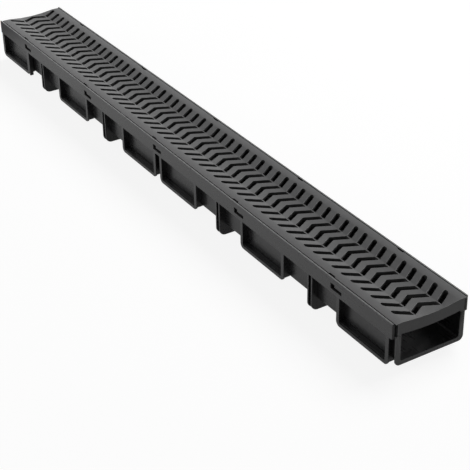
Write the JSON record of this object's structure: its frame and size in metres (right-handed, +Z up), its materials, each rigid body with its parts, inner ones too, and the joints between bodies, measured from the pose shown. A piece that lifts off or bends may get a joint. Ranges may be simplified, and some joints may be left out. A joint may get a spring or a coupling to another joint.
{
  "type": "channel drain",
  "caption": "Plastic surface drainage channel with a U-shaped trough, ribbed side frames and feet, covered by a dished drop-in grate with chevron slots.",
  "frame": {"origin": "on the ground under the feet, at the middle of the body's length and width", "axes": "+X along the channel from the socket end to the tongue end, +Y across it, +Z up"},
  "size_m": [1.0022, 0.102, 0.066],
  "materials": {
    "body_plastic": "matte moulded black",
    "grate_plastic": "matte moulded black, fine grain"
  },
  "bodies": {
    "root": {"channel_body": "body_plastic", "grate": "grate_plastic"}
  },
  "joints": []
}
